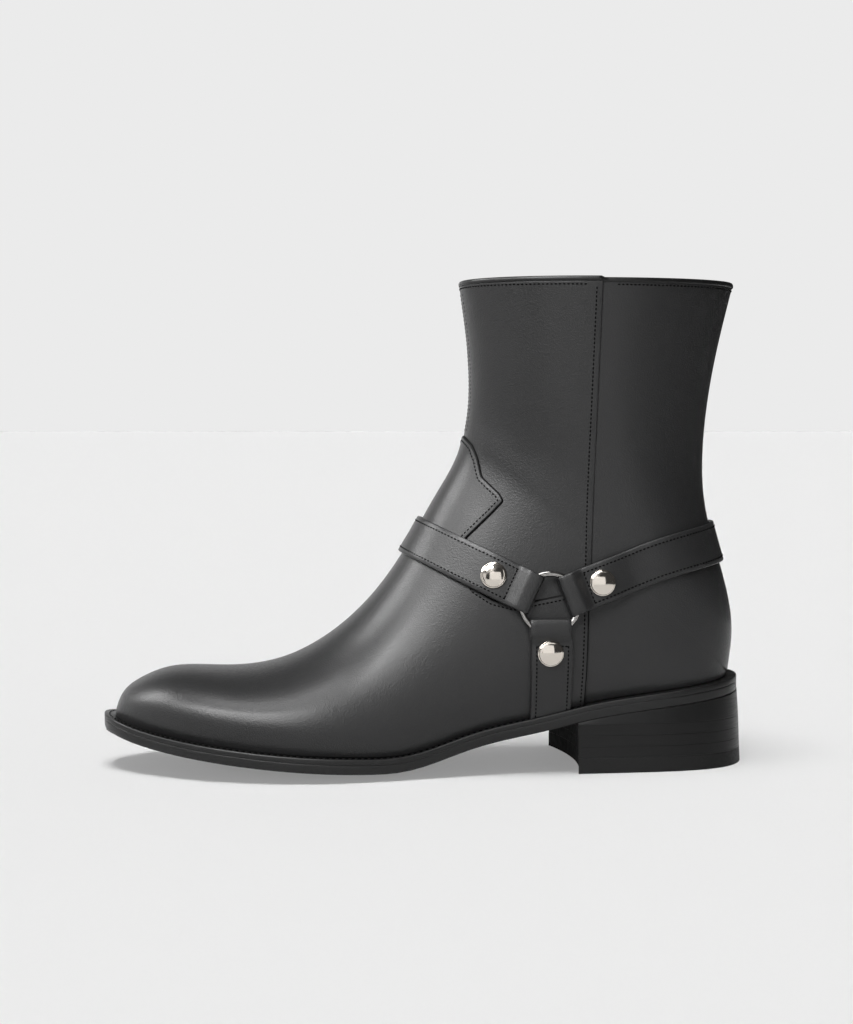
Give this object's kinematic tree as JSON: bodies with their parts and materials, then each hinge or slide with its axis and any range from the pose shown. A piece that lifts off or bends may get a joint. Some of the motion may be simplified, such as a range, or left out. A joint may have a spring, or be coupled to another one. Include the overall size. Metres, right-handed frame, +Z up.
{
  "type": "zip-up harness boot",
  "caption": "Left ankle boot in smooth leather on a stacked heel, with a strap harness riveted round a metal ring and a zip on the inner side.",
  "frame": {"origin": "on the floor, under the middle of the boot's bounding box", "axes": "+Z up; +X from the toe towards the heel; +Y towards the medial side, which carries the zip"},
  "size_m": [0.3006, 0.1022, 0.2243],
  "materials": {
    "upper_leather": "smooth, satin",
    "strap_leather": "smooth, satin",
    "insole_leather": "matte",
    "sole_edge": "dressed edge, satin",
    "heel_leather": "dressed edge, satin",
    "top_lift_rubber": "matte",
    "nickel": "polished",
    "zip_tape": "woven",
    "zip_metal": "dark polished"
  },
  "bodies": {
    "boot": {"upper": "upper_leather", "insole": "insole_leather", "welt": "sole_edge", "outsole": "sole_edge", "heel_wedge": "heel_leather", "heel_lift_1": "heel_leather", "heel_lift_2": "heel_leather", "heel_lift_3": "heel_leather", "top_lift": "top_lift_rubber", "front_strap": "strap_leather", "rear_strap": "strap_leather", "down_strap": "strap_leather", "front_loop": "strap_leather", "rear_loop": "strap_leather", "down_loop": "strap_leather", "front_stud": "nickel", "rear_stud": "nickel", "down_stud": "nickel", "zip_tape": "zip_tape", "zip_chain": "zip_metal", "zip_slider": "zip_metal"},
    "harness_ring": {"ring": "nickel"},
    "pull_tab": {"zip_pull": "zip_metal"}
  },
  "joints": [
    {"name": "ring_turn", "type": "hinge", "parent": "boot", "child": "harness_ring", "pos_m": [0.0521, -0.04018, 0.07861], "axis": [-0.0345, -0.9942, 0.1017], "continuous": true},
    {"name": "pull_swing", "type": "hinge", "parent": "boot", "child": "pull_tab", "pos_m": [0.07531, 0.0436, 0.21115], "axis": [1, 0, 0], "range_deg": [-5, 165]}
  ]
}
